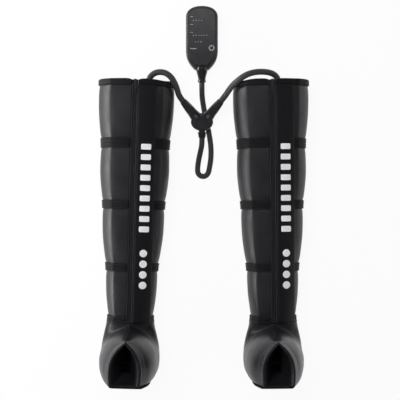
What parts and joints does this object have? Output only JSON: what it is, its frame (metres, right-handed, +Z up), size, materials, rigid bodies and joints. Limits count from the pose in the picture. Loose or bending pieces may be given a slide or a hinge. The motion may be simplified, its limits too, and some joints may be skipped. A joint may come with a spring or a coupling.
{
  "type": "leg compression therapy set",
  "caption": "Hand-sized air pump with a hose, a Y splitter and two full-leg inflatable sleeves with built-in feet, laid flat.",
  "frame": {"origin": "on the floor, under the middle of the whole set's footprint", "axes": "+X across the set to the wearer's left sleeve side as seen from above (right in plan), +Y from the feet to the pump unit, +Z up out of the shins"},
  "size_m": [0.6726, 1.1817, 0.285],
  "materials": {
    "coated_nylon": "satin black coated nylon over an air bladder",
    "band_webbing": "matt black sewn band",
    "binding": "matt black bound edge",
    "lining": "matt knitted lining",
    "zip_tape": "woven tape with moulded teeth",
    "zip_metal": "black enamelled zinc",
    "sole": "matt",
    "inlet_plastic": "moulded",
    "case_plastic": "fine textured",
    "gloss_plastic": "polished",
    "ring_metal": "satin",
    "light_lens": "clear diffusing",
    "board": "circuit board",
    "battery": "shrink sleeve",
    "pump_plastic": "moulded",
    "motor_steel": "drawn can",
    "brass": "turned",
    "steel": "plain",
    "foot_rubber": "matt",
    "hose_rubber": "matt extruded"
  },
  "bodies": {
    "root": {"left_thigh_chamber": "coated_nylon", "left_knee_chamber": "coated_nylon", "left_calf_chamber": "coated_nylon", "left_shin_chamber": "coated_nylon", "left_foot_chamber": "coated_nylon", "left_seam_bands": "band_webbing", "left_rim_binding": "binding", "left_zip_placket": "band_webbing", "left_zip_tape": "zip_tape", "left_toe_gusset": "coated_nylon", "left_sole_panel": "sole", "left_leg_liner": "lining", "left_air_inlet": "inlet_plastic", "right_thigh_chamber": "coated_nylon", "right_knee_chamber": "coated_nylon", "right_calf_chamber": "coated_nylon", "right_shin_chamber": "coated_nylon", "right_foot_chamber": "coated_nylon", "right_seam_bands": "band_webbing", "right_rim_binding": "binding", "right_zip_placket": "band_webbing", "right_zip_tape": "zip_tape", "right_toe_gusset": "coated_nylon", "right_sole_panel": "sole", "right_leg_liner": "lining", "right_air_inlet": "inlet_plastic", "front_shell": "case_plastic", "back_shell": "case_plastic", "face_panel": "gloss_plastic", "button_ring": "ring_metal", "indicator_windows": "light_lens", "main_board": "board", "battery_pack": "battery", "pump_body": "pump_plastic", "pump_motor": "motor_steel", "valve_manifold": "pump_plastic", "solenoid_valves": "brass", "charge_socket": "inlet_plastic", "case_screws": "steel", "rubber_feet": "foot_rubber", "pump_gland": "gloss_plastic", "main_hose": "hose_rubber", "hub_shell_top": "gloss_plastic", "hub_shell_bottom": "gloss_plastic", "hub_gland": "gloss_plastic", "plug_left": "gloss_plastic", "plug_right": "gloss_plastic", "leg_hose_left": "hose_rubber", "leg_hose_right": "hose_rubber"},
    "left_slider": {"left_zip_slider": "zip_metal"},
    "left_pull": {"left_zip_pull": "zip_metal"},
    "right_slider": {"right_zip_slider": "zip_metal"},
    "right_pull": {"right_zip_pull": "zip_metal"},
    "start": {"start_button": "case_plastic"},
    "time_key": {"time_key": "case_plastic"},
    "zone_key": {"zone_key": "case_plastic"},
    "level_key": {"level_key": "case_plastic"},
    "left_latch": {"latch_left": "case_plastic"},
    "right_latch": {"latch_right": "case_plastic"}
  },
  "joints": [
    {"name": "left_zip_slide", "type": "slide", "parent": "root", "child": "left_slider", "axis": [-0.0289, -0.9989, -0.0368], "range_m": [0, 0.7]},
    {"name": "left_pull_hinge", "type": "hinge", "parent": "left_slider", "child": "left_pull", "pos_m": [-0.21281, 0.33818, 0.14254], "axis": [-0.9996, 0.029, 0], "range_deg": [0, 150]},
    {"name": "right_zip_slide", "type": "slide", "parent": "root", "child": "right_slider", "axis": [0.0117, -0.9993, -0.0368], "range_m": [0, 0.7]},
    {"name": "right_pull_hinge", "type": "hinge", "parent": "right_slider", "child": "right_pull", "pos_m": [0.21314, 0.33851, 0.14254], "axis": [-0.9999, -0.0117, 0], "range_deg": [0, 150]},
    {"name": "start_button_press", "type": "slide", "parent": "root", "child": "start", "axis": [0, 0, -1], "range_m": [0, 0.0008], "stiffness_N_per_m": 1500},
    {"name": "time_key_press", "type": "slide", "parent": "root", "child": "time_key", "axis": [0, 0, -1], "range_m": [0, 0.0008], "stiffness_N_per_m": 1500},
    {"name": "zone_key_press", "type": "slide", "parent": "root", "child": "zone_key", "axis": [0, 0, -1], "range_m": [0, 0.0008], "stiffness_N_per_m": 1500},
    {"name": "level_key_press", "type": "slide", "parent": "root", "child": "level_key", "axis": [0, 0, -1], "range_m": [0, 0.0008], "stiffness_N_per_m": 1500},
    {"name": "left_latch_press", "type": "slide", "parent": "root", "child": "left_latch", "axis": [-0.2344, 0.2752, -0.9324], "range_m": [0, 0.0014], "stiffness_N_per_m": 1500},
    {"name": "right_latch_press", "type": "slide", "parent": "root", "child": "right_latch", "axis": [0.2344, 0.2752, -0.9324], "range_m": [0, 0.0014], "stiffness_N_per_m": 1500}
  ]
}
